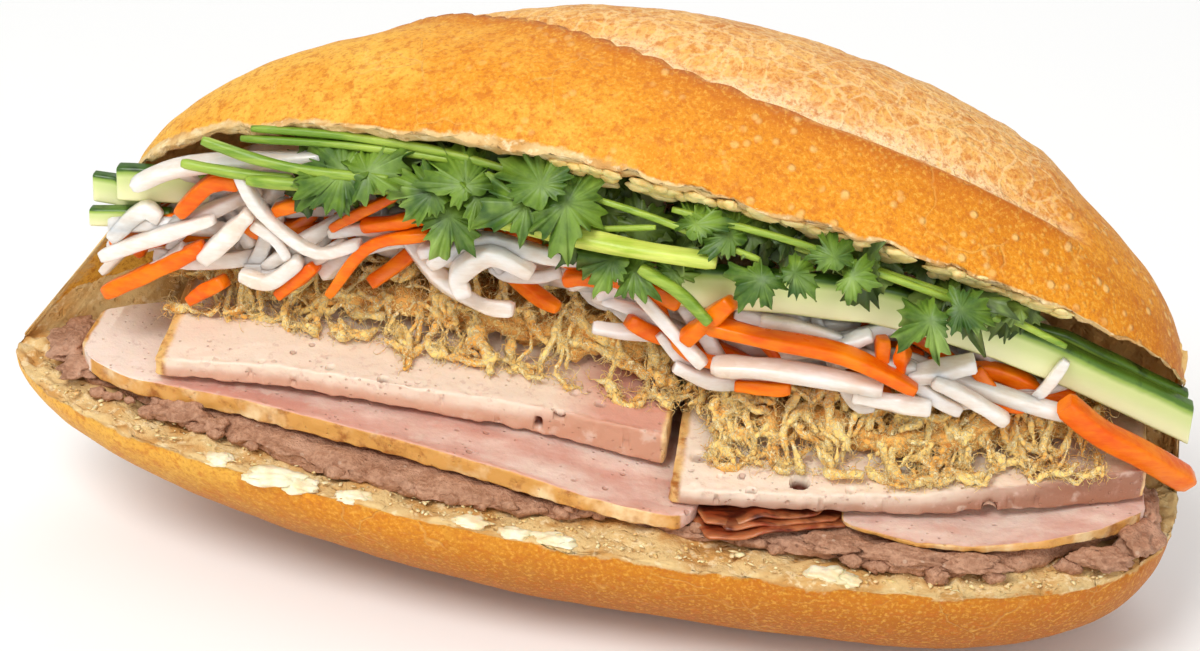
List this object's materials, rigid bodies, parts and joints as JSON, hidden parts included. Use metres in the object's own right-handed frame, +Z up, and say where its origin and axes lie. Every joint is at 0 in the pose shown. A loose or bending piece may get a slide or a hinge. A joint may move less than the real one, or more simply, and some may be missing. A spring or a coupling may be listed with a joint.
{
  "type": "banh mi sandwich",
  "caption": "Crusty long roll slit along one side and opened, filled with pork sausage slices, liver spread, meat floss, pickled roots, cucumber and herbs.",
  "frame": {"origin": "centre of the flat of the roll's base, on the surface that it rests on", "axes": "+X along the roll to its blunt end, +Z up, and the open side faces -Y"},
  "size_m": [0.2208, 0.0937, 0.1047],
  "materials": {
    "crust": "thin baked crust, golden orange with a pale torn crumb",
    "spread": "coarse liver spread, dull and moist",
    "fried_pork": "smooth pink sausage slice with a browned edge",
    "pork_roll": "smooth pale pink sausage slice with small holes",
    "red_pork": "dark red glazed pork",
    "floss": "dry, fluffy golden meat fibres",
    "pickle": "wet, translucent white daikon with orange carrot among it",
    "carrot": "wet orange carrot",
    "cucumber": "pale green flesh with a dark green skin",
    "leaf": "thin green leaf",
    "stalk": "juicy light green stem"
  },
  "bodies": {
    "root": {"roll": "crust", "pate": "spread", "fried_slice_left": "fried_pork", "fried_slice_right": "fried_pork", "pork_slice_left": "pork_roll", "pork_slice_right": "pork_roll", "red_pork_slices": "red_pork", "floss_left": "floss", "floss_right": "floss", "pickles": "pickle", "carrot_stick_right": "carrot", "cucumber_right_front": "cucumber", "cucumber_right_back": "cucumber", "cucumber_left_front": "cucumber", "cucumber_left_back": "cucumber", "cucumber_left_low": "cucumber", "cucumber_middle": "cucumber", "cilantro": "leaf", "green_stalk": "stalk"}
  },
  "joints": []
}
